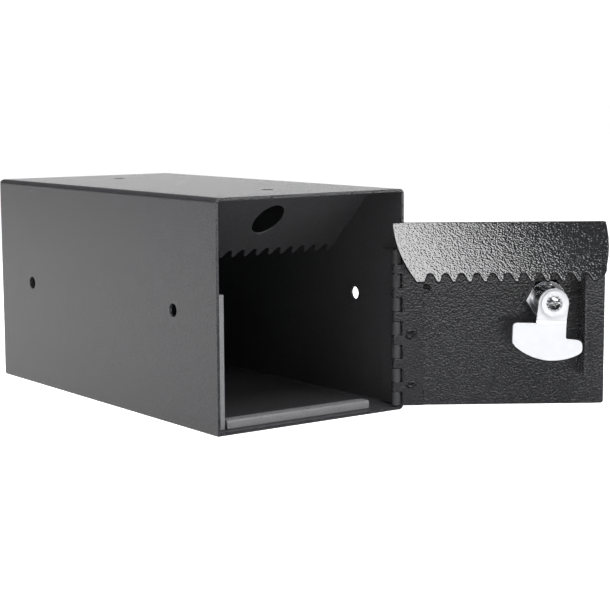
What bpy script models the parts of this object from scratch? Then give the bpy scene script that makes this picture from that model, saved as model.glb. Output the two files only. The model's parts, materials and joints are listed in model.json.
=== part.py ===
"""Under-counter cash drop box: a folded steel box with a hinged, key-locked front door.

The door stops short of the box's top, so notes go in through the gap above it and slide down
between two toothed chute baffles, one fixed in the box and one carried on the door.
The origin is the centre of the box's bottom face; +X is the hinge side, +Y runs from the open
front into the box, +Z is up. The rest pose is the door open against its stop, cam hanging down.
"""
import math

import bmesh
import bpy
from mathutils import Matrix, Vector

MM = 0.001
GAP = 0.3 * MM            # clearance left between pieces that touch or turn on each other

# Box
BOX_WIDTH = 152 * MM
BOX_DEPTH = 305 * MM
BOX_HEIGHT = 151 * MM
SHEET = 2.0 * MM
BEND_RADIUS = 3.5 * MM    # outside radius of the folded edges
REAR_LIP = 10 * MM        # width of the flange folded in around the back
MOUNT_HOLE_RADIUS = 4.5 * MM
MOUNT_HOLE_FRONT = 52 * MM     # from the front edge to the first mounting hole
MOUNT_HOLE_SPACING = 200 * MM
BACK_PANEL_MARGIN = 0.9 * MM
LEFT = -BOX_WIDTH / 2
RIGHT = BOX_WIDTH / 2
FRONT = -BOX_DEPTH / 2
BACK = BOX_DEPTH / 2
HOLE_ROWS = (FRONT + MOUNT_HOLE_FRONT, FRONT + MOUNT_HOLE_FRONT + MOUNT_HOLE_SPACING)

# Toothed baffles
TOOTH_NOTCH_DEPTH = 7.5 * MM
TOOTH_NOTCH_TIP_RADIUS = 2.0 * MM
TOOTH_NOTCH_HALF_MOUTH = 4.1 * MM

FIXED_BAFFLE_SLOPE = math.radians(43.5)
FIXED_BAFFLE_SHEET = 1.2 * MM
FIXED_BAFFLE_FRONT = 28.7 * MM  # front edge of its top flange, from the box's front
FIXED_BAFFLE_FLANGE = 7 * MM
FIXED_BAFFLE_LENGTH = 62.2 * MM # along the slope
FIXED_BAFFLE_NOTCHES = 14
FIXED_BAFFLE_PITCH = 10.2 * MM
DRIVER_HOLE_RADIUS = 11 * MM    # lets a screwdriver reach the front top mounting hole

# Hinge
HINGE_X = BOX_WIDTH / 2 - 5.5 * MM
HINGE_Y = -BOX_DEPTH / 2 + 1.2 * MM
BARREL_RADIUS = 3.2 * MM
LEAF = 1.5 * MM
LEAF_WIDTH = 18 * MM
PIN_RADIUS = BARREL_RADIUS - LEAF - GAP
CURL_SWEEP = math.radians(285)
HINGE_BOTTOM = 3.3 * MM
KNUCKLE_PITCH = 16.2 * MM
KNUCKLE_CUTOUT = 4.3 * MM      # from the axis to the back of each cutout in the leaves
FRAME_KNUCKLE = 9.1 * MM
DOOR_KNUCKLES = 6
HINGE_TOP = HINGE_BOTTOM + DOOR_KNUCKLES * KNUCKLE_PITCH + FRAME_KNUCKLE
DOOR_OPEN = math.radians(145.5)

# Door, in its own frame: s runs from the hinge axis to the free edge, h inwards, z up
DOOR_START = 3.6 * MM
DOOR_END = 142.2 * MM
DOOR_BOTTOM = 3.2 * MM
DOOR_TOP = 128.3 * MM
DOOR_OUTER = -0.6 * MM
DOOR_INNER = DOOR_OUTER + SHEET
DOOR_CORNER = 1.8 * MM

DOOR_BAFFLE_SLOPE = math.radians(42.5)
DOOR_BAFFLE_LENGTH = 53 * MM
DOOR_BAFFLE_START = -3.1 * MM
DOOR_BAFFLE_END = 142 * MM
DOOR_BAFFLE_SIDE_RADIUS = 116 * MM
DOOR_BAFFLE_CORNER = 13 * MM
DOOR_BAFFLE_NOTCHES = 11
DOOR_BAFFLE_PITCH = 10.3 * MM
DOOR_BAFFLE_FIRST_NOTCH = 19.1 * MM
BAFFLE_FLANGE_LOW = 117 * MM
BAFFLE_FLANGE_ENDS = (12 * MM, 118 * MM)

GUARD_POSITION = 123.5 * MM
GUARD_THICKNESS = 1.5 * MM
GUARD_DEPTH = 25.5 * MM
GUARD_BOTTOM = 26 * MM

# Stops inside the front opening
STOP_RECESS = 6.5 * MM
STRIKE_WIDTH = 8 * MM
STRIKE_RETURN_END = 28.6 * MM    # from the box's front; the cam passes just behind it
STRIKE_TOP = 89 * MM
SILL_SHEET = 1.5 * MM
SILL_TOP = 7.8 * MM
SILL_DEPTH = 9 * MM
SILL_START = 11.5 * MM           # from the box's left side
SILL_END = 127 * MM

# Lock, along its own axis from the plane of the hinge axis, positive inwards
LOCK_S = 102.1 * MM
LOCK_Z = 76 * MM
# the lock's own frame in the door's: x towards the free edge, y up, z inwards
LOCK_FRAME = Matrix(((-1, 0, 0, -LOCK_S), (0, 0, 1, 0), (0, 1, 0, LOCK_Z), (0, 0, 0, 1)))
LOCK_HEAD_RADIUS = 11.5 * MM
LOCK_HEAD_THICKNESS = 3.0 * MM
LOCK_HEAD_SEAT = DOOR_OUTER - GAP
LOCK_FACE = LOCK_HEAD_SEAT - LOCK_HEAD_THICKNESS
BARREL_OUTER = 9.5 * MM
BARREL_FLAT = 8.0 * MM
BARREL_BORE = 6.6 * MM
BARREL_COUNTERBORE = 7.9 * MM
COUNTERBORE_DEPTH = 2.6 * MM
BARREL_END = 26.2 * MM
STOP_BOSS_HEIGHT = 1.4 * MM
STOP_BOSS_INNER = 7.0 * MM
STOP_BOSS_OUTER = 9.2 * MM
STOP_TAB_HALF_ANGLE = 20         # degrees
STOP_CLEARANCE = 3               # degrees
LOCK_TURN = 90                   # degrees
NUT_ACROSS_FLATS = 25 * MM
NUT_THICKNESS = 4.5 * MM
NUT_TURN = math.radians(4.4)
PLUG_RADIUS = BARREL_BORE - GAP
PLUG_HEAD_RADIUS = BARREL_COUNTERBORE - GAP
PLUG_TAIL_RADIUS = 4.5 * MM
PLUG_TAIL_FLAT = 3.4 * MM
PLUG_TAIL_END = 29.4 * MM
KEYWAY_WIDTH = 2.0 * MM
KEYWAY_HEIGHT = 7.6 * MM
KEYWAY_END = 20 * MM
SCREW_HOLE_RADIUS = 2.3 * MM
CAM_REAR = 28.0 * MM
CAM_THICKNESS = 2.0 * MM
CAM_REACH = 38.2 * MM
CAM_HUB_RADIUS = 10 * MM
CAM_JOGGLE = 0.8 * MM
CAM_HANG = math.radians(-1.5)    # the cam hangs a little towards the hinge
CUP_WASHER_RADIUS = 8.6 * MM
CUP_WASHER_BORE = 5.1 * MM
CUP_WASHER_HEIGHT = 1.5 * MM
STAR_TEETH = 12
STAR_TOOTH_TIP = 3.1 * MM
STAR_TOOTH_THICKNESS = 0.5 * MM
SCREW_HEAD_RADIUS = 4.1 * MM
SCREW_HEAD_HEIGHT = 1.7 * MM
SCREW_CROSS = 2.3 * MM           # half the length of the cross recess
SCREW_CROSS_DEPTH = 1.1 * MM
SCREW_RADIUS = 2.0 * MM
SCREW_END = 21 * MM

WAFERS = 5
WAFER_FIRST = 1.6 * MM
WAFER_PITCH = 3.2 * MM
WAFER_THICKNESS = 0.9 * MM
WAFER_WIDTH = 6.0 * MM
WAFER_HEIGHT = 10.8 * MM
SPRING_RADIUS = 0.7 * MM
SPRING_WIRE = 0.18 * MM
SPRING_LENGTH = 5.0 * MM
SPRING_OFFSET = 4.75 * MM
SPRING_TURNS = 4
SPRING_POINTS_PER_TURN = 7

# Finishes: linear base colour, roughness, metallic
POWDER_COAT = ((0.030, 0.030, 0.034), 0.55, 0.0)
INNER_POWDER_COAT = ((0.022, 0.022, 0.025), 0.60, 0.0)
BARE_STOP_STEEL = ((0.20, 0.20, 0.205), 0.45, 0.6)
HINGE_PAINT = ((0.020, 0.020, 0.022), 0.50, 0.0)
PIN_STEEL = ((0.25, 0.25, 0.26), 0.35, 1.0)
CHROME = ((0.75, 0.75, 0.77), 0.12, 1.0)
BRIGHT_ZINC = ((0.82, 0.83, 0.85), 0.28, 1.0)
DARK_ZINC = ((0.30, 0.31, 0.32), 0.35, 1.0)
BRASS = ((0.60, 0.42, 0.17), 0.30, 1.0)
SPRING_STEEL = ((0.45, 0.45, 0.46), 0.30, 1.0)

BORE_SEGMENTS = 32
SMALL_SEGMENTS = 20


def clear_scene():
    for old in list(bpy.data.objects):
        bpy.data.objects.remove(old, do_unlink=True)


def new_collection(name):
    collection = bpy.data.collections.new(name)
    bpy.context.scene.collection.children.link(collection)
    return collection


clear_scene()
PARTS = new_collection("cash_drop_box")
CUTTERS = new_collection("cutters")


# ---------------------------------------------------------------- helpers

def finish_material(name, finish):
    colour, roughness, metallic = finish
    material = bpy.data.materials.new(name + "_finish")
    material.use_nodes = True
    shader = material.node_tree.nodes["Principled BSDF"]
    shader.inputs["Base Color"].default_value = (*colour, 1.0)
    shader.inputs["Roughness"].default_value = roughness
    shader.inputs["Metallic"].default_value = metallic
    material.diffuse_color = (*colour, 1.0)
    return material


def add_part(name, mesh, finish, parent=None):
    """Put a mesh in the parts collection, with its own material, on its joint's empty."""
    part = bpy.data.objects.new(name, mesh)
    PARTS.objects.link(part)
    mesh.materials.clear()
    mesh.materials.append(finish_material(name, finish))
    part.parent = parent
    return part


def add_axis(name, location, rotation=(0, 0, 0), parent=None):
    """An empty on a joint's axis, which carries everything that turns about it."""
    axis = bpy.data.objects.new(name, None)
    axis.empty_display_size = 0.03
    PARTS.objects.link(axis)
    axis.location = location
    axis.rotation_euler = rotation
    axis.parent = parent
    return axis


def boolean(part, mesh, operation="DIFFERENCE"):
    """Cut or join a part with a mesh given in the part's own coordinates."""
    tool = bpy.data.objects.new(f"{part.name}_{operation.lower()}", mesh)
    CUTTERS.objects.link(tool)
    tool.parent = part
    tool.hide_render = True
    tool.display_type = "WIRE"
    modifier = part.modifiers.new(tool.name, "BOOLEAN")
    modifier.operation = operation
    modifier.solver = "EXACT"
    modifier.object = tool
    return tool


def mesh_from(bm, name):
    mesh = bpy.data.meshes.new(name)
    bm.to_mesh(mesh)
    bm.free()
    return mesh


def joined(meshes, name):
    """Several separate closed meshes as one, to cut or join a part with in one step."""
    bm = bmesh.new()
    for mesh in meshes:
        bm.from_mesh(mesh)
    return mesh_from(bm, name)


def placed(mesh, matrix):
    """Move a mesh by a matrix, keeping its faces pointing out even if the matrix mirrors it."""
    mesh.transform(matrix)
    bm = bmesh.new()
    bm.from_mesh(mesh)
    bmesh.ops.recalc_face_normals(bm, faces=bm.faces)
    bm.to_mesh(mesh)
    bm.free()
    return mesh


def smooth(mesh, angle=35):
    mesh.shade_smooth()
    mesh.set_sharp_from_angle(angle=math.radians(angle))
    return mesh


def cuboid(low, high):
    """A box between two corners, as a bmesh still to be worked on."""
    bm = bmesh.new()
    bmesh.ops.create_cube(bm, size=1.0)
    low, high = Vector(low), Vector(high)
    bmesh.ops.scale(bm, vec=high - low, verts=bm.verts)
    bmesh.ops.translate(bm, vec=(low + high) / 2, verts=bm.verts)
    return bm


def box(name, low, high):
    return mesh_from(cuboid(low, high), name)


def cylinder(name, radius, z_low, z_high, centre=(0, 0), segments=BORE_SEGMENTS):
    """A cylinder along z."""
    bm = bmesh.new()
    bmesh.ops.create_cone(bm, cap_ends=True, segments=segments, radius1=radius, radius2=radius,
                          depth=z_high - z_low)
    bmesh.ops.translate(bm, vec=(*centre, (z_low + z_high) / 2), verts=bm.verts)
    return mesh_from(bm, name)


def arc(centre, radius, start, end, count):
    """Points on an arc from one angle to another, in degrees, both ends included."""
    angles = [math.radians(start + (end - start) * i / count) for i in range(count + 1)]
    return [(centre[0] + radius * math.cos(a), centre[1] + radius * math.sin(a)) for a in angles]


def slab(name, loops, z_low, z_high):
    """A flat outline, given as its outer loop and then its holes, as a closed slab."""
    curve = bpy.data.curves.new(name, "CURVE")
    curve.dimensions = "2D"
    curve.fill_mode = "BOTH"
    curve.extrude = (z_high - z_low) / 2
    for loop in loops:
        spline = curve.splines.new("POLY")
        spline.points.add(len(loop) - 1)
        for point, (x, y) in zip(spline.points, loop):
            point.co = (x, y, 0, 1)
        spline.use_cyclic_u = True
    guide = bpy.data.objects.new(name, curve)
    bpy.context.scene.collection.objects.link(guide)
    mesh = mesh_of_curve(guide)
    mesh.transform(Matrix.Translation((0, 0, (z_low + z_high) / 2)))
    return mesh


def mesh_of_curve(guide):
    """The closed mesh that a curve object makes, with its caps welded; the curve is removed."""
    evaluated = guide.evaluated_get(bpy.context.evaluated_depsgraph_get())
    mesh = bpy.data.meshes.new_from_object(evaluated)
    bpy.data.objects.remove(guide)
    bm = bmesh.new()
    bm.from_mesh(mesh)
    bmesh.ops.remove_doubles(bm, verts=bm.verts, dist=0.001 * MM)
    bmesh.ops.recalc_face_normals(bm, faces=bm.faces)
    bm.to_mesh(mesh)
    bm.free()
    return mesh


def turned(name, profile, segments=BORE_SEGMENTS):
    """A solid of revolution about z from an outer profile of (radius, z), listed top to bottom."""
    bm = bmesh.new()
    verts = [bm.verts.new((radius, 0, z)) for radius, z in profile]
    edges = [bm.edges.new(pair) for pair in zip(verts, verts[1:])]
    bmesh.ops.spin(bm, geom=verts + edges, axis=(0, 0, 1), cent=(0, 0, 0),
                   angle=2 * math.pi, steps=segments, use_merge=True)
    bmesh.ops.remove_doubles(bm, verts=bm.verts, dist=0.001 * MM)
    bmesh.ops.recalc_face_normals(bm, faces=bm.faces)
    return mesh_from(bm, name)


def double_d(radius, flat, count=8):
    """A circle with two flats facing +y and -y."""
    edge = math.degrees(math.asin(flat / radius))
    return arc((0, 0), radius, -edge, edge, count) + arc((0, 0), radius, 180 - edge, 180 + edge, count)


def notch(centre, edge, inward):
    """One tapered notch with a round end, cut from an edge at y = edge towards `inward`."""
    depth_of_centre = TOOTH_NOTCH_DEPTH - TOOTH_NOTCH_TIP_RADIUS
    tip = arc((0, depth_of_centre), TOOTH_NOTCH_TIP_RADIUS, 25, 155, 5)
    mouth = 1.0 * MM
    spread = TOOTH_NOTCH_HALF_MOUTH
    points = [(-spread, 0), (-spread - 0.3 * mouth, -mouth), (spread + 0.3 * mouth, -mouth), (spread, 0)]
    return [(centre + x, edge + inward * y) for x, y in points + tip]


# ---------------------------------------------------------------- box

def folded_box(name, low, high, radius, segments):
    """A box rounded on its folded edges: all the rear ones, and those along y but the welded one."""
    bm = cuboid(low, high)
    middle = (Vector(low) + Vector(high)) / 2
    folded = []
    for edge in bm.edges:
        centre = (edge.verts[0].co + edge.verts[1].co) / 2
        along_y = abs(edge.verts[0].co.y - edge.verts[1].co.y) > radius
        welded = along_y and centre.x < middle.x and centre.z < middle.z
        rear = not along_y and centre.y > middle.y
        if rear or (along_y and not welded):
            folded.append(edge)
    bmesh.ops.bevel(bm, geom=folded, offset=radius, segments=segments, profile=0.5,
                    affect="EDGES", clamp_overlap=True)
    return mesh_from(bm, name)


def make_body_shell():
    """One sheet folded round four sides, welded along the bottom left, with a lip at the back."""
    outside = folded_box("body_shell", (LEFT, FRONT, 0), (RIGHT, BACK, BOX_HEIGHT), BEND_RADIUS, 4)
    shell = add_part("body_shell", smooth(outside), POWDER_COAT)
    inside = folded_box("inside", (LEFT + SHEET, FRONT - 10 * MM, SHEET),
                        (RIGHT - SHEET, BACK - SHEET, BOX_HEIGHT - SHEET), BEND_RADIUS - SHEET, 3)
    boolean(shell, inside)
    lip = SHEET + REAR_LIP
    boolean(shell, box("rear_window", (LEFT + lip, BACK - 10 * MM, lip),
                       (RIGHT - lip, BACK + 10 * MM, BOX_HEIGHT - lip)))
    side_holes = []
    top_holes = []
    through = Matrix.Rotation(math.pi / 2, 4, "Y")
    for y in HOLE_ROWS:
        side = cylinder("side_hole", MOUNT_HOLE_RADIUS, LEFT - 5 * MM, RIGHT + 5 * MM, segments=20)
        side_holes.append(placed(side, Matrix.Translation((0, y, BOX_HEIGHT / 2)) @ through))
        top_holes.append(cylinder("top_hole", MOUNT_HOLE_RADIUS, BOX_HEIGHT - 8 * MM,
                                  BOX_HEIGHT + 5 * MM, centre=(0, y), segments=20))
    boolean(shell, joined(side_holes + top_holes, "mounting_holes"))


def make_back_panel():
    """A flat plate welded inside the rear lip."""
    margin = SHEET + BACK_PANEL_MARGIN
    rear = BACK - SHEET - GAP
    bm = cuboid((LEFT + margin, rear - SHEET, margin), (RIGHT - margin, rear, BOX_HEIGHT - margin))
    corners = [e for e in bm.edges if abs(e.verts[0].co.y - e.verts[1].co.y) > SHEET / 2]
    bmesh.ops.bevel(bm, geom=corners, offset=2 * MM, segments=3, profile=0.5, affect="EDGES")
    add_part("back_panel", mesh_from(bm, "back_panel"), INNER_POWDER_COAT)


def make_fixed_baffle():
    """The fixed half of the chute: a flange under the top, and a toothed plate sloping back."""
    bottom_of_top = BOX_HEIGHT - SHEET - GAP
    length = BOX_WIDTH - 2 * (SHEET + GAP)
    down, back = math.sin(FIXED_BAFFLE_SLOPE), math.cos(FIXED_BAFFLE_SLOPE)
    flange_front = FRONT + FIXED_BAFFLE_FRONT
    bend = Vector((flange_front + FIXED_BAFFLE_FLANGE, bottom_of_top - FIXED_BAFFLE_SHEET))
    tip = bend + Vector((back, -down)) * FIXED_BAFFLE_LENGTH
    bm = bmesh.new()
    row = [bm.verts.new((-length / 2, y, z)) for y, z in ((flange_front, bend.y), bend, tip)]
    edges = [bm.edges.new(pair) for pair in zip(row, row[1:])]
    swept = bmesh.ops.extrude_edge_only(bm, edges=edges)
    moved = [g for g in swept["geom"] if isinstance(g, bmesh.types.BMVert)]
    bmesh.ops.translate(bm, vec=(length, 0, 0), verts=moved)
    baffle = add_part("fixed_baffle", mesh_from(bm, "fixed_baffle"), INNER_POWDER_COAT)
    sheet = baffle.modifiers.new("sheet", "SOLIDIFY")
    sheet.thickness = FIXED_BAFFLE_SHEET
    sheet.offset = -1
    sheet.use_even_offset = True
    first = -(FIXED_BAFFLE_NOTCHES - 1) / 2 * FIXED_BAFFLE_PITCH
    notches = []
    for i in range(FIXED_BAFFLE_NOTCHES):
        outline = notch(first + i * FIXED_BAFFLE_PITCH, 0, 1)
        notches.append(slab("notch", [outline], -3 * MM, 5 * MM))
    cutter = joined(notches, "baffle_notches")
    # in the cutter x runs along the edge, y up the slope and z out of the plate
    frame = Matrix(((1, 0, 0, 0), (0, -back, down, tip.x), (0, down, back, tip.y), (0, 0, 0, 1)))
    boolean(baffle, placed(cutter, frame))
    boolean(baffle, cylinder("driver_hole", DRIVER_HOLE_RADIUS, BOX_HEIGHT - 40 * MM,
                             BOX_HEIGHT - 4.6 * MM, centre=(0, HOLE_ROWS[0])))


def angle_section(long_leg, short_leg, sheet, radius):
    """An L outline: one leg along +x from the corner at the origin, the other along +y."""
    outer = arc((radius, radius), radius, 270, 180, 4)
    return [(long_leg, 0)] + outer + [(0, short_leg), (sheet, short_leg), (sheet, sheet), (long_leg, sheet)]


def make_strike_angle():
    """The upright stop inside the left wall; the cam catches behind its folded-back leg."""
    outline = angle_section(STRIKE_WIDTH, STRIKE_RETURN_END - STOP_RECESS, SHEET, 1.5 * MM)
    mesh = slab("strike_angle", [outline], SHEET + GAP, STRIKE_TOP)
    corner = (LEFT + SHEET + GAP + STRIKE_WIDTH, FRONT + STOP_RECESS, 0)
    mirrored = Matrix.Translation(corner) @ Matrix.Scale(-1, 4, (1, 0, 0))
    add_part("strike_angle", placed(mesh, mirrored), BARE_STOP_STEEL)


def make_sill_angle():
    """The low stop across the floor behind the door's bottom edge."""
    outline = angle_section(SILL_DEPTH, SILL_TOP - SHEET - GAP, SILL_SHEET, 1.2 * MM)
    mesh = slab("sill_angle", [outline], 0, SILL_END - SILL_START)
    # x of the outline runs back, y runs down, and the section is swept along +x
    frame = Matrix(((0, 0, 1, LEFT + SILL_START), (1, 0, 0, FRONT + STOP_RECESS),
                    (0, -1, 0, SILL_TOP), (0, 0, 0, 1)))
    add_part("sill_angle", placed(mesh, frame), BARE_STOP_STEEL)


# ---------------------------------------------------------------- hinge

def leaf_outline():
    """A hinge leaf and its rolled knuckle round the origin: the leaf runs along +x, its face up."""
    sweep = math.degrees(CURL_SWEEP)
    outer = arc((0, 0), BARREL_RADIUS, 90, 90 + sweep, 20)
    inner = arc((0, 0), BARREL_RADIUS - LEAF, 90 + sweep, 90, 14)
    return [(LEAF_WIDTH, BARREL_RADIUS)] + outer + inner + [(LEAF_WIDTH, BARREL_RADIUS - LEAF)]


def knuckle_gaps(name, starts, length):
    """Cutters that clear the rolled edge wherever the other leaf's knuckles go."""
    reach = BARREL_RADIUS + GAP
    gaps = [box("gap", (-reach - 1 * MM, -reach - 1 * MM, z), (KNUCKLE_CUTOUT, reach + 1 * MM, z + length))
            for z in starts]
    return joined(gaps, name)


def make_hinge(door_axis):
    outline = leaf_outline()
    pitch_starts = [HINGE_BOTTOM + i * KNUCKLE_PITCH for i in range(DOOR_KNUCKLES + 1)]

    frame_mesh = smooth(slab("hinge_frame_leaf", [outline], HINGE_BOTTOM, HINGE_TOP))
    frame_leaf = add_part("hinge_frame_leaf", frame_mesh, HINGE_PAINT)
    # the fixed leaf lies along the right wall, its face against it
    frame_leaf.location = (HINGE_X, HINGE_Y, HINGE_BOTTOM + HINGE_TOP)
    frame_leaf.rotation_euler = (math.pi, 0, math.pi / 2)
    door_zone = KNUCKLE_PITCH - FRAME_KNUCKLE
    flipped = [HINGE_BOTTOM + HINGE_TOP - (z + FRAME_KNUCKLE) - door_zone for z in pitch_starts[:-1]]
    boolean(frame_leaf, knuckle_gaps("door_knuckle_zones", flipped, door_zone))

    door_mesh = smooth(slab("hinge_door_leaf", [outline], HINGE_BOTTOM, HINGE_TOP))
    door_leaf = add_part("hinge_door_leaf", door_mesh, HINGE_PAINT, door_axis)
    door_leaf.rotation_euler = (0, math.pi, 0)
    door_leaf.location.z = HINGE_BOTTOM + HINGE_TOP
    zones = [HINGE_BOTTOM + HINGE_TOP - z - FRAME_KNUCKLE - GAP for z in pitch_starts]
    boolean(door_leaf, knuckle_gaps("frame_knuckle_zones", zones, FRAME_KNUCKLE + 2 * GAP))

    pin = turned("hinge_pin", [(0, HINGE_TOP + GAP), (PIN_RADIUS - 0.3 * MM, HINGE_TOP + GAP),
                               (PIN_RADIUS, HINGE_TOP), (PIN_RADIUS, HINGE_BOTTOM),
                               (PIN_RADIUS - 0.3 * MM, HINGE_BOTTOM - GAP), (0, HINGE_BOTTOM - GAP)], 16)
    hinge_pin = add_part("hinge_pin", smooth(pin), PIN_STEEL)
    hinge_pin.location = (HINGE_X, HINGE_Y, 0)


# ---------------------------------------------------------------- door

def make_door_panel(door_axis):
    """The flat door: free corners rounded off, and the lock's double-D hole; drawn round the lock."""
    hinge_edge, free_edge = DOOR_START - LOCK_S, DOOR_END - LOCK_S
    bottom, top = DOOR_BOTTOM - LOCK_Z, DOOR_TOP - LOCK_Z
    inset = free_edge - DOOR_CORNER
    outline = [(hinge_edge, bottom)]
    outline += arc((inset, bottom + DOOR_CORNER), DOOR_CORNER, -90, 0, 6)
    outline += arc((inset, top - DOOR_CORNER), DOOR_CORNER, 0, 90, 6)
    outline += [(hinge_edge, top)]
    hole = double_d(BARREL_OUTER + GAP, BARREL_FLAT + GAP)
    panel = slab("door_panel", [outline, hole], DOOR_OUTER, DOOR_INNER)
    add_part("door_panel", placed(panel, LOCK_FRAME), POWDER_COAT, door_axis)


def baffle_outline():
    """The door baffle in its own plane: x is s, y runs down the slope from the door's top."""
    radius = DOOR_BAFFLE_SIDE_RADIUS
    length = DOOR_BAFFLE_LENGTH
    start = -3 * MM                       # trimmed later along the door's inner face
    hinge_side = []
    for i in range(9):
        y = start + (length - start) * i / 8
        hinge_side.append((DOOR_BAFFLE_START + radius - math.sqrt(radius**2 - max(y, 0)**2), y))
    corner_y = length - DOOR_BAFFLE_CORNER
    free_side = []
    for i in range(6):
        y = start + (corner_y - start) * i / 5
        free_side.append((DOOR_BAFFLE_END - radius + math.sqrt(radius**2 - max(y - 6 * MM, 0)**2), y))
    corner_x = free_side[-1][0] - DOOR_BAFFLE_CORNER
    corner = arc((corner_x, corner_y), DOOR_BAFFLE_CORNER, 0, 90, 5)[1:]
    return hinge_side + corner[::-1] + free_side[::-1]


def make_door_baffle(door_axis):
    """The moving half of the chute: a toothed plate welded along the top of the door."""
    down, inward = math.sin(DOOR_BAFFLE_SLOPE), math.cos(DOOR_BAFFLE_SLOPE)
    # columns: s, down the slope, and out of the upper face, in the door's frame
    to_door = Matrix(((-1, 0, 0, 0), (0, inward, down, DOOR_INNER + GAP),
                      (0, -down, inward, DOOR_TOP), (0, 0, 0, 1)))
    plate = slab("door_baffle", [baffle_outline()], -SHEET, 0)
    bm = bmesh.new()
    bm.from_mesh(placed(plate, to_door))
    geometry = list(bm.verts) + list(bm.edges) + list(bm.faces)
    trimmed = bmesh.ops.bisect_plane(bm, geom=geometry, plane_co=(0, DOOR_INNER + GAP, 0),
                                     plane_no=(0, -1, 0), clear_outer=True)
    cut_edges = [g for g in trimmed["geom_cut"] if isinstance(g, bmesh.types.BMEdge)]
    bmesh.ops.edgenet_fill(bm, edges=cut_edges)
    bmesh.ops.recalc_face_normals(bm, faces=bm.faces)
    bm.to_mesh(plate)
    bm.free()
    baffle = add_part("door_baffle", plate, POWDER_COAT, door_axis)
    low_s, high_s = BAFFLE_FLANGE_ENDS
    flange = box("baffle_flange", (-high_s, DOOR_INNER + GAP, BAFFLE_FLANGE_LOW),
                 (-low_s, DOOR_INNER + GAP + SHEET, DOOR_TOP - 2.5 * MM))
    boolean(baffle, flange, "UNION")
    notches = []
    for i in range(DOOR_BAFFLE_NOTCHES):
        outline = notch(DOOR_BAFFLE_FIRST_NOTCH + i * DOOR_BAFFLE_PITCH, DOOR_BAFFLE_LENGTH, -1)
        notches.append(slab("notch", [outline], -5 * MM, 3 * MM))
    boolean(baffle, placed(joined(notches, "baffle_notches"), to_door))


def make_lock_guard(door_axis):
    """A plate standing on the door beside the lock, up to the underside of the baffle."""
    slope = math.tan(DOOR_BAFFLE_SLOPE)
    under = DOOR_TOP - (SHEET + GAP) / math.cos(DOOR_BAFFLE_SLOPE)
    near = DOOR_INNER + GAP
    far = near + GUARD_DEPTH
    outline = [(near, GUARD_BOTTOM), (far, GUARD_BOTTOM),
               (far, under - (far - near) * slope), (near, under)]
    mesh = slab("lock_guard", [outline], -GUARD_POSITION - GUARD_THICKNESS, -GUARD_POSITION)
    # x of the outline runs inwards, y up, and the plate's thickness lies along the door
    upright = Matrix(((0, 0, 1, 0), (1, 0, 0, 0), (0, 1, 0, 0), (0, 0, 0, 1)))
    add_part("lock_guard", placed(mesh, upright), POWDER_COAT, door_axis)


# ---------------------------------------------------------------- lock

def make_lock_housing(lock_axis):
    """The threaded barrel with its round head, and the raised stop that limits the turn."""
    rim = 1.0 * MM
    profile = [(0, BARREL_END), (BARREL_OUTER - 0.6 * MM, BARREL_END),
               (BARREL_OUTER, BARREL_END - 0.6 * MM),
               (BARREL_OUTER, LOCK_HEAD_SEAT), (LOCK_HEAD_RADIUS, LOCK_HEAD_SEAT),
               (LOCK_HEAD_RADIUS, LOCK_FACE + rim), (LOCK_HEAD_RADIUS - rim, LOCK_FACE), (0, LOCK_FACE)]
    housing = add_part("lock_housing", smooth(turned("lock_housing", profile)), CHROME, lock_axis)
    tab = STOP_TAB_HALF_ANGLE + STOP_CLEARANCE
    boss_start = 90 + LOCK_TURN + tab
    boss_end = 360 + 90 - tab
    boss = arc((0, 0), STOP_BOSS_OUTER, boss_start, boss_end, 16)
    boss += arc((0, 0), STOP_BOSS_INNER, boss_end, boss_start, 16)
    boolean(housing, slab("stop_boss", [boss], BARREL_END - 1 * MM, BARREL_END + STOP_BOSS_HEIGHT), "UNION")
    wide = 15 * MM
    flats = [box("flat", (-wide, side * BARREL_FLAT if side > 0 else -wide, LOCK_HEAD_SEAT),
                 (wide, wide if side > 0 else -BARREL_FLAT, BARREL_END + 5 * MM)) for side in (-1, 1)]
    boolean(housing, joined(flats, "barrel_flats"))
    floor = LOCK_FACE + COUNTERBORE_DEPTH
    above, below = BARREL_END + 5 * MM, LOCK_FACE - 5 * MM
    bore_profile = [(0, above), (BARREL_BORE, above), (BARREL_BORE, floor),
                    (BARREL_COUNTERBORE, floor), (BARREL_COUNTERBORE, below), (0, below)]
    boolean(housing, turned("plug_bore", bore_profile))


def make_lock_nut(lock_axis):
    """The hexagon nut that clamps the barrel to the door, its corners chamfered."""
    low = DOOR_INNER + GAP
    high = low + NUT_THICKNESS
    corner = NUT_ACROSS_FLATS / math.sqrt(3)
    hexagon = arc((0, 0), corner, 0, 300, 5)
    hole = double_d(BARREL_OUTER + GAP, BARREL_OUTER + 0.99 * GAP, 12)
    mesh = slab("lock_nut", [hexagon, hole], low, high)
    nut = add_part("lock_nut", mesh, CHROME, lock_axis)
    nut.rotation_euler.z = NUT_TURN
    shoulder = NUT_ACROSS_FLATS / 2 * 0.98
    drop = (corner - shoulder) * math.tan(math.radians(25))
    chamfer = [(0, high + 1 * MM), (shoulder - 0.5 * MM, high + 1 * MM), (shoulder, high),
               (corner, high - drop), (corner + 1 * MM, high - drop),
               (corner + 1 * MM, low - 1 * MM), (0, low - 1 * MM)]
    boolean(nut, turned("nut_chamfer", chamfer, 36), "INTERSECT")


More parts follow.
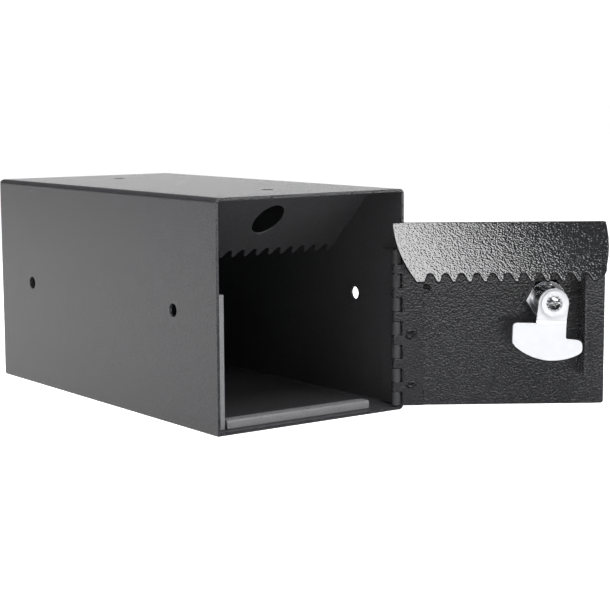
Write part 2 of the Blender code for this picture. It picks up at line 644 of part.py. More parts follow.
def make_lock_plug(plug_axis):
    """The turning plug: head, slotted body, keyway, and a tail with two flats for the cam."""
    body_end = BARREL_END + GAP
    head_floor = LOCK_FACE + COUNTERBORE_DEPTH - GAP
    profile = [(0, body_end), (PLUG_RADIUS, body_end), (PLUG_RADIUS, head_floor),
               (PLUG_HEAD_RADIUS, head_floor), (PLUG_HEAD_RADIUS, LOCK_FACE + 0.4 * MM),
               (PLUG_HEAD_RADIUS - 0.4 * MM, LOCK_FACE), (0, LOCK_FACE)]
    plug = add_part("lock_plug", smooth(turned("lock_plug", profile)), CHROME, plug_axis)
    tail = slab("tail", [double_d(PLUG_TAIL_RADIUS, PLUG_TAIL_FLAT)], body_end - 1 * MM, PLUG_TAIL_END)
    boolean(plug, tail, "UNION")
    boolean(plug, cylinder("screw_hole", SCREW_HOLE_RADIUS, SCREW_END - 0.6 * MM, PLUG_TAIL_END + 2 * MM,
                           segments=SMALL_SEGMENTS))
    boolean(plug, box("keyway", (-KEYWAY_WIDTH / 2, -KEYWAY_HEIGHT / 2, LOCK_FACE - 1 * MM),
                      (KEYWAY_WIDTH / 2, KEYWAY_HEIGHT / 2, KEYWAY_END)))
    half = WAFER_WIDTH / 2 + GAP
    slots = []
    pockets = []
    for z in wafer_positions():
        low, high = z - GAP, z + WAFER_THICKNESS + GAP
        slots.append(box("slot", (-half, -8 * MM, low), (half, 8 * MM, high)))
        reach = SPRING_RADIUS + SPRING_WIRE + GAP
        middle = z + WAFER_THICKNESS / 2
        pockets.append(box("pocket", (half - 0.4 * MM, -SPRING_LENGTH / 2 - GAP, middle - reach),
                           (SPRING_OFFSET + 1.3 * MM + reach, SPRING_LENGTH / 2 + GAP, middle + reach)))
    boolean(plug, joined(slots, "wafer_slots"))
    boolean(plug, joined(pockets, "spring_pockets"))


def wafer_positions():
    return [WAFER_FIRST + i * WAFER_PITCH for i in range(WAFERS)]


def make_wafers_and_springs(plug_axis):
    """Each wafer has a window for the key and a small coil spring beside it."""
    for number, z in enumerate(wafer_positions(), 1):
        lift = 0.35 * MM * ((number * 2) % 3 - 1)
        half_width, half_height = WAFER_WIDTH / 2, WAFER_HEIGHT / 2
        cut = 1.0 * MM
        outer = [(-half_width + cut, -half_height), (half_width - cut, -half_height),
                 (half_width, -half_height + cut), (half_width, half_height - cut),
                 (half_width - cut, half_height), (-half_width + cut, half_height),
                 (-half_width, half_height - cut), (-half_width, -half_height + cut)]
        window = [(-1.3 * MM, lift - 3 * MM), (1.3 * MM, lift - 3 * MM),
                  (1.3 * MM, lift + 3 * MM), (-1.3 * MM, lift + 3 * MM)]
        wafer = slab("wafer", [outer, window], z, z + WAFER_THICKNESS)
        add_part(f"lock_wafer_{number}", wafer, BRASS, plug_axis)

        curve = bpy.data.curves.new(f"wafer_spring_{number}", "CURVE")
        curve.dimensions = "3D"
        curve.bevel_depth = SPRING_WIRE
        curve.bevel_resolution = 1
        curve.use_fill_caps = True
        spline = curve.splines.new("POLY")
        count = SPRING_TURNS * SPRING_POINTS_PER_TURN
        spline.points.add(count)
        travel = SPRING_LENGTH - 2 * SPRING_WIRE
        for i, point in enumerate(spline.points):
            turn = 2 * math.pi * i / SPRING_POINTS_PER_TURN
            point.co = (SPRING_OFFSET + SPRING_RADIUS * math.cos(turn), travel * (i / count - 0.5),
                        z + WAFER_THICKNESS / 2 + SPRING_RADIUS * math.sin(turn), 1)
        guide = bpy.data.objects.new(f"wafer_spring_{number}", curve)
        bpy.context.scene.collection.objects.link(guide)
        add_part(f"wafer_spring_{number}", smooth(mesh_of_curve(guide)), SPRING_STEEL, plug_axis)


def make_stop_washer(plug_axis):
    """Keyed on the plug's tail; its tab runs between the ends of the housing's stop."""
    low = BARREL_END + GAP
    tab = STOP_TAB_HALF_ANGLE
    rim = arc((0, 0), STOP_BOSS_OUTER, 90 - tab, 90 + tab, 5)
    disc = arc((0, 0), STOP_BOSS_INNER - GAP, 90 + tab, 360 + 90 - tab, 24)
    hole = double_d(PLUG_TAIL_RADIUS + GAP, PLUG_TAIL_FLAT + GAP)
    mesh = slab("lock_stop_washer", [rim + disc, hole], low + GAP, CAM_REAR - GAP)
    add_part("lock_stop_washer", mesh, DARK_ZINC, plug_axis)


def make_cam(plug_axis):
    """The latch cam: a round hub, a slightly offset arm and a broad sector-shaped head."""
    shift = -1.3 * MM                  # the arm leans towards the head's long side
    crease = -13.3 * MM
    long_side, short_side = -26.8 * MM, 20.0 * MM
    short_top = -24.2 * MM
    half_arm = 10 * MM

    def reach_angle(x):
        return -math.degrees(math.acos(x / CAM_REACH))

    def rounded(corner, before, after, radius):
        """Replace a corner by five points of a short curve."""
        corner = Vector(corner)
        back = corner + (Vector(before) - corner).normalized() * radius
        ahead = corner + (Vector(after) - corner).normalized() * radius
        return [tuple(back * (1 - t) ** 2 + corner * 2 * t * (1 - t) + ahead * t ** 2)
                for t in (0, 0.25, 0.5, 0.75, 1)]

    left_low = (long_side, -math.sqrt(CAM_REACH**2 - long_side**2))
    right_low = (short_side, -math.sqrt(CAM_REACH**2 - short_side**2))
    outline = arc((0, 0), CAM_HUB_RADIUS, 0, 180, 16)
    outline += [(-half_arm + shift, crease)]
    outline += rounded((long_side, crease), (-half_arm, crease), left_low, 2.8 * MM)
    outline += rounded(left_low, (long_side, crease), (long_side + 3 * MM, left_low[1] - 2 * MM), 1.6 * MM)
    outline += arc((0, 0), CAM_REACH, reach_angle(long_side + 2 * MM),
                   reach_angle(short_side - 2.8 * MM), 14)
    outline += rounded(right_low, (short_side - 2 * MM, right_low[1] - 1 * MM),
                       (short_side, short_top), 2.2 * MM)
    outline += rounded((short_side, short_top), right_low, (half_arm, short_top), 4.2 * MM)
    outline += [(half_arm - 0.3 * MM, short_top + 0.5 * MM), (half_arm + shift, short_top + 1.5 * MM),
                (half_arm + shift, crease)]
    hole = double_d(PLUG_TAIL_RADIUS + GAP, PLUG_TAIL_FLAT + GAP)
    mesh = slab("lock_cam", [outline, hole], CAM_REAR, CAM_REAR + CAM_THICKNESS)
    bm = bmesh.new()
    bm.from_mesh(mesh)
    for level in (crease + 1.6 * MM, crease + 0.2 * MM):
        bmesh.ops.bisect_plane(bm, geom=list(bm.verts) + list(bm.edges) + list(bm.faces),
                               plane_co=(0, level, 0), plane_no=(0, 1, 0))
    for vert in bm.verts:
        if vert.co.y < crease + 1 * MM:
            vert.co.z += CAM_JOGGLE
    bmesh.ops.triangulate(bm, faces=bm.faces)
    bm.to_mesh(mesh)
    bm.free()
    cam = add_part("lock_cam", mesh, BRIGHT_ZINC, plug_axis)
    cam.rotation_euler.z = CAM_HANG


def make_cam_fasteners(plug_axis):
    """A cupped washer with inner teeth, and the cross-recess screw sunk in it."""
    low = CAM_REAR + CAM_THICKNESS + GAP
    teeth = []
    step = 360 / STAR_TEETH
    for i in range(STAR_TEETH):
        teeth += arc((0, 0), CUP_WASHER_BORE, i * step, (i + 0.45) * step, 2)
        teeth += arc((0, 0), STAR_TOOTH_TIP, (i + 0.55) * step, (i + 0.9) * step, 1)
    outer = arc((0, 0), CUP_WASHER_RADIUS, 0, 350, 35)
    washer = slab("cam_star_washer", [outer, teeth], low, low + CUP_WASHER_HEIGHT)
    part = add_part("cam_star_washer", washer, BRIGHT_ZINC, plug_axis)
    tooth_top = low + STAR_TOOTH_THICKNESS
    boolean(part, cylinder("cup", CUP_WASHER_BORE + GAP, tooth_top, low + 2 * CUP_WASHER_HEIGHT))

    seat = tooth_top + GAP
    top = seat + SCREW_HEAD_HEIGHT
    radius = SCREW_HEAD_RADIUS
    profile = [(0, top), (0.45 * radius, top - 0.1 * MM), (0.8 * radius, top - 0.45 * MM),
               (radius, top - 1.1 * MM), (radius, seat), (SCREW_RADIUS, seat),
               (SCREW_RADIUS, SCREW_END + 0.8 * MM), (SCREW_RADIUS - 0.8 * MM, SCREW_END), (0, SCREW_END)]
    screw = add_part("cam_screw", smooth(turned("cam_screw", profile, 24)), DARK_ZINC, plug_axis)
    arm = SCREW_CROSS
    half = SCREW_CROSS / 5
    cross = [(-half, -arm), (half, -arm), (half, -half), (arm, -half), (arm, half), (half, half),
             (half, arm), (-half, arm), (-half, half), (-arm, half), (-arm, -half), (-half, -half)]
    recess = slab("cross_recess", [cross], top - SCREW_CROSS_DEPTH, top + 1 * MM)
    boolean(screw, placed(recess, Matrix.Rotation(math.radians(20), 4, "Z")))


# ---------------------------------------------------------------- assembly

make_body_shell()
make_back_panel()
make_fixed_baffle()
make_strike_angle()
make_sill_angle()

DOOR_AXIS = add_axis("door_hinge_axis", (HINGE_X, HINGE_Y, 0), (0, 0, DOOR_OPEN))
make_hinge(DOOR_AXIS)
make_door_panel(DOOR_AXIS)
make_door_baffle(DOOR_AXIS)
make_lock_guard(DOOR_AXIS)

LOCK_AXIS = add_axis("lock_barrel_axis", (-LOCK_S, 0, LOCK_Z), (math.pi / 2, 0, math.pi), DOOR_AXIS)
make_lock_housing(LOCK_AXIS)
make_lock_nut(LOCK_AXIS)

PLUG_AXIS = add_axis("lock_plug_axis", (0, 0, 0), (0, 0, 0), LOCK_AXIS)
make_lock_plug(PLUG_AXIS)
make_wafers_and_springs(PLUG_AXIS)
make_stop_washer(PLUG_AXIS)
make_cam(PLUG_AXIS)
make_cam_fasteners(PLUG_AXIS)
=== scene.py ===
"""Looks of the under-counter cash drop box: rounded sheet edges, welds, thread and finishes.

Metres, in the CAD's frame: +Z up, +Y from the open front into the box, +X to the hinge side.
Door coordinates are s (from the hinge axis to the free edge), h (off the door, inwards) and z.
"""
import json
import math

import bmesh
import bpy
from mathutils import Matrix, Vector


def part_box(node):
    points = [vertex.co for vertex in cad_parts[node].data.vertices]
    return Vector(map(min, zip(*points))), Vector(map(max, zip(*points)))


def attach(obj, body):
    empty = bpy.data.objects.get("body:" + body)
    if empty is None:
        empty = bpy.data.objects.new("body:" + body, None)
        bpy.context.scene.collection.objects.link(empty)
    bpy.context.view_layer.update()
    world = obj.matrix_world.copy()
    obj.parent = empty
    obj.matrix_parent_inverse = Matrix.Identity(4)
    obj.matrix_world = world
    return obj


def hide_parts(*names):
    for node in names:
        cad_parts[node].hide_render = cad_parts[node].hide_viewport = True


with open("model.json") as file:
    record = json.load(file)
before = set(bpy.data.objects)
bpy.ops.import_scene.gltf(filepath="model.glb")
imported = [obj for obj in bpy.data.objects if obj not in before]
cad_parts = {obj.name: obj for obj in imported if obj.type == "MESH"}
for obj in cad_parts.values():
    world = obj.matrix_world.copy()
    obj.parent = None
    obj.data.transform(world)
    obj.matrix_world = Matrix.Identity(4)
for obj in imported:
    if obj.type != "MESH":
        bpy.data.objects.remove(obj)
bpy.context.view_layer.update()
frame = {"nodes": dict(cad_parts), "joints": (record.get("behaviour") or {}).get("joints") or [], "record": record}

MM = 0.001
NODES = frame["nodes"]
BODY_OF = {node: body for body, nodes in frame["record"]["behaviour"]["bodies"].items() for node in nodes}
SLOT_OF = {row["node"]: row["material_slot"] for row in frame["record"]["subparts"]}
JOINTS = {joint["name"]: joint for joint in frame["joints"]}

# ---- the door's own frame at rest, from its hinge joint
HINGE = Vector(JOINTS["door_hinge"]["pos_m"])
DOOR_OPEN = math.radians(145.5)
DOOR_TO_WORLD = (Matrix.Translation((HINGE.x, HINGE.y, 0)) @ Matrix.Rotation(DOOR_OPEN, 4, "Z")
                 @ Matrix.Diagonal((-1, 1, 1, 1)))
LEAF_FACE = 3.2 * MM           # h of the hinge leaf's visible face
DOOR_INNER = 1.4 * MM          # h of the door's inner face
GUARD_FOOT = 123.4 * MM        # s of the guard's lock side
FLANGE_LOW = 117 * MM          # z of the lower edge of the baffle's flange

# ---- the lock's frame: x towards the free edge, y up, z inwards
LOCK_S, LOCK_Z = 102.1 * MM, 76 * MM
LOCK_TO_WORLD = DOOR_TO_WORLD @ Matrix(((1, 0, 0, LOCK_S), (0, 0, 1, 0), (0, 1, 0, LOCK_Z), (0, 0, 0, 1)))
BARREL_RADIUS = 9.5 * MM
BARREL_FLAT = 8.0 * MM
THREAD_START, THREAD_END = 6.7 * MM, 25.4 * MM
THREAD_PITCH = 1.25 * MM
THREAD_HEIGHT = 0.3 * MM
THREAD_POINTS = 72             # round the barrel
THREAD_RINGS = 8               # in one pitch
FLAT_GAP = 0.04 * MM           # how far the thread's cut lies off the barrel's flat
RUNOUT = 0.2 * MM              # how far its two ends dive into the barrel

# ---- camera
CAMERA_PLACE = (-0.6291, -1.0018, 0.2147)
CAMERA_YAW, CAMERA_PITCH, CAMERA_ROLL = (math.radians(angle) for angle in (36.206, 7.370, -0.317))
LENS, SENSOR = 96.27, 36       # mm

# ---- studio
FLOOR_RADIUS = 30.0
FLOOR_GAP = 0.4 * MM
WALL_HEIGHT = 12.0
REARWARD = Vector((-0.45, 0.89, 0.0))
SKY_FRONT, SKY_REAR, SKY_OVERHEAD = 3.0, 0.80, 0.16    # at the horizon, and well above it
LOW_FRONT, LOW_REAR = 0.12, 1.45                       # below the horizon
LOW_DEEP, LOW_SHALLOW = 0.35, 1.5                      # and its factor, with depth below the horizon
SOFTBOXES = {                  # place, target, width, height, radiance
    "overhead": ((-0.165, -0.35, 1.15), (-0.165, -0.35, 0.0), 0.74, 1.1, 14.0),
    "front": ((-0.1, -1.75, 1.25), (0.05, -0.2, 0.08), 1.5, 0.7, 7.2),
}

# ---- finishes
PEBBLE = 1.15 * MM             # grain of the powder coat
CLOUD = 18 * MM                # and of its slow change in shade
POLISH_GRAIN = 0.25 * MM
POLISH_DEPTH = 0.004 * MM
PLATE_CLOUD = 6 * MM

# node: edge rounding in mm, its segments, and the bend in degrees from which an edge is rounded
EDGES = {
    "body_shell": (0.35, 3, 38),
    "back_panel": (0.3, 2, 38),
    "fixed_baffle": (0.3, 3, 38),
    "strike_angle": (0.3, 3, 38),
    "sill_angle": (0.25, 2, 38),
    "hinge_frame_leaf": (0.2, 2, 38),
    "hinge_pin": (0.15, 2, 38),
    "door_panel": (0.35, 3, 38),
    "door_baffle": (0.5, 3, 38),
    "lock_guard": (0.12, 2, 38),
    "hinge_door_leaf": (0.2, 2, 38),
    "lock_nut": (0.15, 2, 14),
    "lock_plug": (0.12, 2, 38),
    "lock_stop_washer": (0.12, 2, 38),
    "lock_cam": (0.3, 3, 14),
    "cam_star_washer": (0.1, 2, 38),
    "cam_screw": (0.12, 2, 38),
    "lock_housing": (0.15, 2, 38),
}
# nodes whose finish isn't the one that their slot is named after; the baffle's is a darker copy of the outer coat,
# painted shade on a face that the overhead light falls on most
# the hinge frame leaf takes the inner coat, and with it the same painted light as the walls inside the box
FINISH_OF = {"hinge_frame_leaf": "inner_coat", "lock_guard": "outer_coat", "door_baffle": "baffle_shade_coat"}

# ---- welds: the spots on the hinge leaf and door are s, h and z, tilt in degrees, and relative size
HINGE_SPOTS = {
    "low": (10.1 * MM, LEAF_FACE, 17.6 * MM, 20, 0.9),
    "middle": (9.7 * MM, LEAF_FACE, 52.6 * MM, 35, 1.15),
    "high": (21.0 * MM, DOOR_INNER, 84.4 * MM, -20, 0.75),
}
# radius and height in mm of a spot weld's skin, from its sunk middle over the rim into the sheet
CRATER = ((0.2, 0.12), (1.3, 0.10), (1.9, 0.42), (2.5, 0.55), (3.0, 0.34), (3.5, -0.05), (3.5, -0.3))
SPOT_POINTS = 28
SPOT_LONG, SPOT_SHORT = 1.15, 0.72
GUARD_WELDS = {"low": (30 * MM, 42 * MM), "high": (92 * MM, 106 * MM)}
FLANGE_WELDS = (24 * MM, 62 * MM, 100 * MM)
FLANGE_WELD_HALF = 6 * MM
BACK_WELDS = {"low": 32 * MM, "high": 112 * MM}
BACK_WELD_HALF = 8 * MM
GUARD_BEAD, FLANGE_BEAD, BACK_BEAD = 1.1 * MM, 1.0 * MM, 1.1 * MM
BEAD_RIPPLE = 1.3 * MM
BEAD_POINTS = 12
BEAD_RINGS = 6                 # in one ripple


# ---------------------------------------------------------------- camera and studio

def place_camera():
    yaw, pitch, roll = CAMERA_YAW, CAMERA_PITCH, CAMERA_ROLL
    forward = Vector((math.sin(yaw) * math.cos(pitch), math.cos(yaw) * math.cos(pitch), -math.sin(pitch)))
    level_right = Vector((math.cos(yaw), -math.sin(yaw), 0))
    level_up = level_right.cross(forward)
    right = math.cos(roll) * level_right + math.sin(roll) * level_up
    up = math.cos(roll) * level_up - math.sin(roll) * level_right
    data = bpy.data.cameras.new("camera")
    data.lens = LENS
    data.sensor_width = SENSOR
    camera = bpy.data.objects.new("camera", data)
    bpy.context.scene.collection.objects.link(camera)
    turned = Matrix((right, up, -forward)).transposed().to_4x4()
    camera.matrix_world = Matrix.Translation(CAMERA_PLACE) @ turned
    bpy.context.scene.camera = camera


def softbox(name, position, target, width, height, radiance):
    """A rectangular soft light; radiance is what its face sends in every direction."""
    data = bpy.data.lights.new(name, "AREA")
    data.shape = "RECTANGLE"
    data.size = width
    data.size_y = height
    data.energy = radiance * math.pi * width * height
    light = bpy.data.objects.new(name, data)
    bpy.context.scene.collection.objects.link(light)
    light.location = position
    light.rotation_euler = (Vector(target) - Vector(position)).to_track_quat("-Z", "Y").to_euler()


def mapped(tree, value, ranges, kind):
    """A Map Range node on value; ranges are from low, from high, to low, to high."""
    node = tree.nodes.new("ShaderNodeMapRange")
    node.interpolation_type = kind
    for socket, number in zip(("From Min", "From Max", "To Min", "To Max"), ranges):
        node.inputs[socket].default_value = number
    tree.links.new(value, node.inputs["Value"])
    return node.outputs["Result"]


def blended(tree, factor, first, second):
    """A Mix node between two numbers; each is a socket or a plain value."""
    node = tree.nodes.new("ShaderNodeMix")
    tree.links.new(factor, node.inputs[0])
    for socket, value in ((2, first), (3, second)):
        if isinstance(value, float):
            node.inputs[socket].default_value = value
        else:
            tree.links.new(value, node.inputs[socket])
    return node.outputs[0]


def light_world():
    """A bright horizon with a dim sky, and below it a glow that only glossy surfaces meet.

    The horizon is brightest towards the front, and the glow towards the rear. The camera
    itself sees plain white.
    """
    world = bpy.data.worlds.new("studio")
    bpy.context.scene.world = world
    world.use_nodes = True
    tree = world.node_tree
    background = tree.nodes["Background"]
    background.inputs["Color"].default_value = (1.0, 1.0, 1.0, 1.0)
    direction = tree.nodes.new("ShaderNodeTexCoord").outputs["Generated"]
    split = tree.nodes.new("ShaderNodeSeparateXYZ")
    tree.links.new(direction, split.inputs[0])
    height = split.outputs["Z"]
    dot = tree.nodes.new("ShaderNodeVectorMath")
    dot.operation = "DOT_PRODUCT"
    dot.inputs[1].default_value = REARWARD
    tree.links.new(direction, dot.inputs[0])
    rearward = dot.outputs["Value"]

    horizon = mapped(tree, rearward, (-0.6, 0.2, SKY_FRONT, SKY_REAR), "SMOOTHSTEP")
    fade = mapped(tree, height, (0.06, 0.14, 0.0, 1.0), "SMOOTHSTEP")
    above = blended(tree, fade, horizon, SKY_OVERHEAD)
    below = tree.nodes.new("ShaderNodeMath")
    below.operation = "MULTIPLY"
    tree.links.new(mapped(tree, rearward, (-0.4, 0.8, LOW_FRONT, LOW_REAR), "SMOOTHSTEP"), below.inputs[0])
    tree.links.new(mapped(tree, height, (-0.32, -0.02, LOW_DEEP, LOW_SHALLOW), "LINEAR"), below.inputs[1])
    side = mapped(tree, height, (-0.11, -0.04, 0.0, 1.0), "LINEAR")
    lighting = blended(tree, side, below.outputs[0], above)
    seen = tree.nodes.new("ShaderNodeLightPath").outputs["Is Camera Ray"]
    tree.links.new(blended(tree, seen, lighting, 1.0), background.inputs["Strength"])


def pale_material(name, glow):
    """Matt white that glows a little of its own, as an evenly lit paper sweep does."""
    material = bpy.data.materials.new(name)
    material.use_nodes = True
    shader = material.node_tree.nodes["Principled BSDF"]
    shader.inputs["Base Color"].default_value = (0.85, 0.85, 0.85, 1.0)
    shader.inputs["Roughness"].default_value = 0.9
    shader.inputs["Specular IOR Level"].default_value = 0.1
    shader.inputs["Emission Color"].default_value = (1.0, 1.0, 1.0, 1.0)
    shader.inputs["Emission Strength"].default_value = glow
    return material


def stage_piece(name, bm, material):
    """A piece of the studio that the glossy coat doesn't reflect."""
    mesh = mesh_of(bm, name)
    mesh.materials.append(material)
    piece = bpy.data.objects.new(name, mesh)
    bpy.context.scene.collection.objects.link(piece)
    piece.location.z = -FLOOR_GAP
    piece.visible_glossy = False
    return piece


def build_studio():
    light_world()
    bpy.context.scene.view_settings.view_transform = "Standard"
    for name, (place, target, width, height, radiance) in SOFTBOXES.items():
        softbox(name, place, target, width, height, radiance)

    bm = bmesh.new()
    bmesh.ops.create_circle(bm, cap_ends=True, segments=96, radius=FLOOR_RADIUS)
    stage_piece("floor", bm, pale_material("pale_floor", 0.85))
    bm = bmesh.new()
    bmesh.ops.create_cone(bm, cap_ends=False, segments=96, radius1=FLOOR_RADIUS, radius2=FLOOR_RADIUS,
                          depth=WALL_HEIGHT)
    bmesh.ops.translate(bm, verts=bm.verts, vec=(0, 0, WALL_HEIGHT / 2))
    wall = stage_piece("backdrop", bm, pale_material("pale_wall", 1.15))
    wall.visible_diffuse = False
    wall.visible_shadow = False


# ---------------------------------------------------------------- materials

class Nodes:
    """Short calls for building one material's node tree."""

    def __init__(self, name):
        self.material = bpy.data.materials.new(name)
        self.material.use_nodes = True
        self.tree = self.material.node_tree
        self.shader = self.tree.nodes["Principled BSDF"]
        self.place = self.tree.nodes.new("ShaderNodeTexCoord").outputs["Object"]

    def set(self, **values):
        for name, value in values.items():
            self.shader.inputs[name.replace("_", " ")].default_value = value

    def link(self, output, node, socket):
        self.tree.links.new(output, node.inputs[socket])

    def noise(self, size, detail, stretch=None):
        """Noise whose features are about `size` metres across."""
        node = self.tree.nodes.new("ShaderNodeTexNoise")
        node.inputs["Scale"].default_value = 1.0 / size
        node.inputs["Detail"].default_value = detail
        source = self.place
        if stretch:
            mapping = self.tree.nodes.new("ShaderNodeMapping")
            mapping.inputs["Scale"].default_value = stretch
            self.link(self.place, mapping, "Vector")
            source = mapping.outputs["Vector"]
        self.link(source, node, "Vector")
        return node.outputs["Fac"]

    def remap(self, value, low, high, to_low, to_high):
        return mapped(self.tree, value, (low, high, to_low, to_high), "LINEAR")

    def mixed(self, factor, first, second):
        """A colour between first and second."""
        node = self.tree.nodes.new("ShaderNodeMix")
        node.data_type = "RGBA"
        self.link(factor, node, 0)
        node.inputs[6].default_value = (*first, 1.0)
        node.inputs[7].default_value = (*second, 1.0)
        return node.outputs[2]

    def added(self, first, second, share):
        """first plus share times second."""
        node = self.tree.nodes.new("ShaderNodeMath")
        node.operation = "MULTIPLY_ADD"
        self.link(second, node, 0)
        node.inputs[1].default_value = share
        self.link(first, node, 2)
        return node.outputs[0]

    def bump(self, height, distance):
        node = self.tree.nodes.new("ShaderNodeBump")
        node.inputs["Strength"].default_value = 1.0
        node.inputs["Distance"].default_value = distance
        self.link(height, node, "Height")
        self.link(node.outputs["Normal"], self.shader, "Normal")


def powder_coat(name, dark, light, roughness, relief):
    """Textured powder coat: pebbles of about a millimetre, smoother on their tops, with painted shade that makes
    their tops paler and their hollows darker.
    """
    n = Nodes(name)
    n.set(Metallic=0.0, Specular_IOR_Level=0.45)
    pebbles = n.noise(PEBBLE, detail=0.5)
    n.bump(n.added(pebbles, n.noise(1.9 * PEBBLE, detail=1), 0.45), relief)
    # painted shade: pebble tops paler and hollows darker in step with the bump, plus a slow random change in tone
    pebble_shade_and_mottle = n.added(n.remap(pebbles, 0.3, 0.7, 0.0, 1.0), n.noise(CLOUD, detail=3), 0.4)
    n.link(n.mixed(pebble_shade_and_mottle, dark, light), n.shader, "Base Color")
    low, high = roughness
    n.link(n.remap(pebbles, 0.3, 0.7, high, low), n.shader, "Roughness")
    return n.material


def plated(name, base, tint, roughness, stretch=None, metallic=1.0):
    """Plated metal: faint clouding of the plate and fine polishing marks."""
    n = Nodes(name)
    n.set(Metallic=metallic)
    clouds = n.remap(n.noise(PLATE_CLOUD, detail=3), 0.3, 0.7, 0.0, 1.0)
    n.link(n.mixed(clouds, base, tint), n.shader, "Base Color")
    marks = n.noise(POLISH_GRAIN, detail=2, stretch=stretch)
    low, high = roughness
    n.link(n.remap(marks, 0.25, 0.75, low, high), n.shader, "Roughness")
    n.bump(marks, POLISH_DEPTH)
    return n.material


def make_materials():
    return {
        "outer_coat": powder_coat("outer_powder_coat", (0.010, 0.010, 0.011), (0.023, 0.023, 0.025),
                                  (0.06, 0.11), 0.14 * MM),
        # painted shade: the outer coat again, darker, so that the up-facing baffle doesn't read as bright under
        # the overhead light
        "baffle_shade_coat": powder_coat("baffle_powder_coat_painted_shade", (0.003, 0.003, 0.003), (0.008, 0.008, 0.009),
                                   (0.06, 0.11), 0.14 * MM),
        # painted light: a rougher, thinner coat, and paler than the outer coat to stand in for the light that
        # reaches the inside of the box
        "inner_coat": powder_coat("inner_powder_coat_painted_light", (0.021, 0.021, 0.022), (0.030, 0.030, 0.032),
                                  (0.30, 0.42), 0.06 * MM),
        "stop_steel": powder_coat("stop_steel", (0.085, 0.085, 0.09), (0.12, 0.12, 0.125),
                                  (0.35, 0.5), 0.04 * MM),
        "hinge_coat": powder_coat("hinge_coat", (0.012, 0.012, 0.013), (0.020, 0.020, 0.022),
                                  (0.08, 0.14), 0.10 * MM),
        # painted shade: the spot welds' near-black coat stands in for the shade inside their craters
        "weld_painted_shade_coat": powder_coat("weld_crater_painted_shade_coat", (0.002, 0.002, 0.002), (0.005, 0.005, 0.006),
                                 (0.25, 0.40), 0.14 * MM),
        "pin_steel": plated("pin_steel", (0.30, 0.30, 0.31), (0.22, 0.22, 0.23), (0.25, 0.40)),
        "chrome": plated("chrome_plate", (0.86, 0.86, 0.88), (0.78, 0.78, 0.81), (0.03, 0.07)),
        "bright_zinc": plated("bright_plate", (0.58, 0.59, 0.605), (0.555, 0.565, 0.59), (0.48, 0.58),
                              stretch=(1, 1, 6), metallic=0.5),
        "dark_zinc": plated("zinc_plate", (0.46, 0.46, 0.48), (0.36, 0.37, 0.39), (0.12, 0.22)),
        "brass": plated("wafer_brass", (0.66, 0.46, 0.19), (0.58, 0.39, 0.15), (0.25, 0.38)),
        "spring_steel": plated("spring_steel", (0.50, 0.50, 0.52), (0.42, 0.42, 0.44), (0.22, 0.34)),
    }


# ---------------------------------------------------------------- pieces

def new_piece(name, mesh, slot, body, finish=None):
    """A visible piece that rides on a body; its finish is its slot's unless another is given."""
    piece = bpy.data.objects.new(name, mesh)
    bpy.context.scene.collection.objects.link(piece)
    mesh.materials.clear()
    mesh.materials.append(MATERIALS[finish or slot])
    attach(piece, body)
    return piece


def solid_of(node):
    """The CAD node's shape as a clean bmesh: welded, with its flat faces whole again."""
    bm = bmesh.new()
    bm.from_mesh(NODES[node].data)
    bmesh.ops.remove_doubles(bm, verts=bm.verts, dist=0.001 * MM)
    bmesh.ops.dissolve_limit(bm, angle_limit=math.radians(0.5), verts=bm.verts, edges=bm.edges)
    return bm


def mesh_of(bm, name):
    mesh = bpy.data.meshes.new(name)
    bm.to_mesh(mesh)
    bm.free()
    return mesh


def round_edges(piece, width, segments, angle):
    """Break every sharp edge with a small round and shade the rest smooth."""
    piece.data.shade_smooth()
    bevel = piece.modifiers.new("round_edges", "BEVEL")
    bevel.width = width
    bevel.segments = segments
    bevel.limit_method = "ANGLE"
    bevel.angle_limit = math.radians(angle)
    bevel.use_clamp_overlap = True
    bevel.miter_outer = "MITER_ARC"
    normals = piece.modifiers.new("face_normals", "WEIGHTED_NORMAL")
    normals.mode = "FACE_AREA"
    normals.weight = 80
    normals.keep_sharp = False


def coat_inside(mesh):
    """The faces of the shell that look into the box get the thinner inner coat, painted paler than the outer coat
    to stand in for light reaching into the box.
    """
    mesh.materials.append(MATERIALS["inner_coat"])
    low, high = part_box("body_shell")
    margin = 1.0 * MM
    for face in mesh.polygons:
        c = face.center
        inside = (low.x + margin < c.x < high.x - margin and low.z + margin < c.z < high.z - margin
                  and low.y + margin < c.y < high.y - margin)
        face.material_index = int(inside)


def refine_nodes():
    """Redraw the seen nodes with rounded edges, and give the small inner ones their finish."""
    for node, (width, segments, angle) in EDGES.items():
        mesh = mesh_of(solid_of(node), node + "_finished")
        piece = new_piece(node + "_finished", mesh, SLOT_OF[node], BODY_OF[node], FINISH_OF.get(node))
        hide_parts(node)
        if node == "body_shell":
            coat_inside(mesh)
        round_edges(piece, width * MM, segments, angle)
    for node, slot in SLOT_OF.items():
        if node not in EDGES:
            NODES[node].data.materials.clear()
            NODES[node].data.materials.append(MATERIALS[slot])


# ---------------------------------------------------------------- details the CAD leaves out

def ringed(name, rings):
    """A closed skin over rings of points that all have the same count, its two ends filled."""
    bm = bmesh.new()
    rows = [[bm.verts.new(point) for point in ring] for ring in rings]
    for row, following in zip(rows, rows[1:]):
        for i, vert in enumerate(row):
            j = (i + 1) % len(row)
            bm.faces.new((vert, row[j], following[j], following[i]))
    bm.faces.new(rows[0][::-1])
    bm.faces.new(rows[-1])
    bmesh.ops.recalc_face_normals(bm, faces=bm.faces)
    mesh = mesh_of(bm, name)
    mesh.shade_smooth()
    return mesh


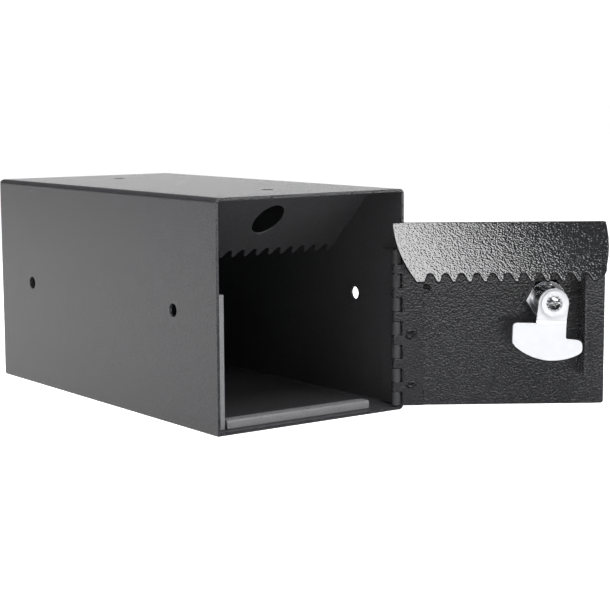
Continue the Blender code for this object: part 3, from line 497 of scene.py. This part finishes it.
def weld_bead(name, start, end, crest, radius, slot, body):
    """A rippled fillet of weld from start to end; crest is the way its back faces."""
    start, end = Vector(start), Vector(end)
    along = (end - start).normalized()
    crest = Vector(crest).normalized()
    side = along.cross(crest)
    length = (end - start).length
    steps = round(length / BEAD_RIPPLE * BEAD_RINGS)
    angles = [2 * math.pi * k / BEAD_POINTS for k in range(BEAD_POINTS)]
    rings = []
    for i in range(steps + 1):
        t = i / steps
        taper = math.sqrt(max(0.02, 1 - abs(2 * t - 1) ** 6))
        size = radius * taper * (0.88 + 0.12 * abs(math.sin(math.pi * t * length / BEAD_RIPPLE)))
        centre = start + (end - start) * t
        rings.append([centre + size * (math.cos(a) * crest + 1.15 * math.sin(a) * side) for a in angles])
    new_piece(name, ringed(name, rings), slot, body)


def spot_weld(name, s, h, z, tilt, size):
    """A small crater where the hinge leaf is welded to the door: raised rim, sunk middle, in a near-black coat
    that is painted shade for the crater.
    """
    rings = []
    for radius, height in CRATER:
        ring = []
        for k in range(SPOT_POINTS):
            angle = 2 * math.pi * k / SPOT_POINTS
            wobble = 1 + 0.07 * math.sin(3 * angle + z / MM) + 0.04 * math.sin(5 * angle)
            x = SPOT_LONG * radius * wobble * size * math.cos(angle)
            y = SPOT_SHORT * radius * wobble * size * math.sin(angle)
            ring.append(DOOR_TO_WORLD @ Vector((s + (x * math.cos(tilt) - y * math.sin(tilt)) * MM,
                                                h + height * MM,
                                                z + (x * math.sin(tilt) + y * math.cos(tilt)) * MM)))
        rings.append(ring)
    new_piece(name, ringed(name, rings), "hinge_coat", "door", finish="weld_painted_shade_coat")


def door_bead(name, start, end, crest, radius):
    """A weld bead given in door coordinates."""
    weld_bead(name, DOOR_TO_WORLD @ Vector(start), DOOR_TO_WORLD @ Vector(end),
              DOOR_TO_WORLD.to_3x3() @ Vector(crest), radius, "outer_coat", "door")


def add_welds():
    for level, (s, h, z, tilt, size) in HINGE_SPOTS.items():
        spot_weld(f"hinge_weld_{level}", s, h, z, math.radians(tilt), size)
    # the guard's foot, on its lock side
    for level, (low, high) in GUARD_WELDS.items():
        h = DOOR_INNER + 0.3 * MM
        door_bead(f"guard_weld_{level}", (GUARD_FOOT, h, low), (GUARD_FOOT, h, high), (-1, 1, 0), GUARD_BEAD)
    # the baffle's flange on the door
    for i, s in enumerate(FLANGE_WELDS):
        h = DOOR_INNER + 0.5 * MM
        door_bead(f"flange_weld_{i + 1}", (s - FLANGE_WELD_HALF, h, FLANGE_LOW),
                  (s + FLANGE_WELD_HALF, h, FLANGE_LOW), (0, 1, -1), FLANGE_BEAD)
    # the back panel, along its edges where it meets the folded walls
    low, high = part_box("back_panel")
    inner = low.y - 0.1 * MM
    for side, x, inwards in (("left", low.x, 1), ("right", high.x, -1)):
        for level, z in BACK_WELDS.items():
            weld_bead(f"back_weld_{side}_{level}", (x, inner, z - BACK_WELD_HALF),
                      (x, inner, z + BACK_WELD_HALF), (inwards, -1, 0), BACK_BEAD, "inner_coat", "box")


def add_thread():
    """The barrel's thread between nut and cam, cut away along its two flats."""
    length = THREAD_END - THREAD_START
    steps = round(length / THREAD_PITCH * THREAD_RINGS)
    flat = BARREL_FLAT + FLAT_GAP
    rings = []
    for i in range(steps + 1):
        h = THREAD_START + length * i / steps
        ring = []
        for k in range(THREAD_POINTS):
            angle = 2 * math.pi * k / THREAD_POINTS
            turn = h / THREAD_PITCH - k / THREAD_POINTS
            ridge = 1 - abs(2 * (turn % 1.0) - 1)
            radius = BARREL_RADIUS + THREAD_HEIGHT * (ridge - 0.15)
            if i in (0, steps):
                radius = BARREL_RADIUS - RUNOUT
            y = max(-flat, min(flat, radius * math.sin(angle)))
            ring.append(LOCK_TO_WORLD @ Vector((radius * math.cos(angle), y, h)))
        rings.append(ring)
    new_piece("lock_thread", ringed("lock_thread", rings), "chrome", "door")


place_camera()
build_studio()
MATERIALS = make_materials()
refine_nodes()
add_welds()
add_thread()
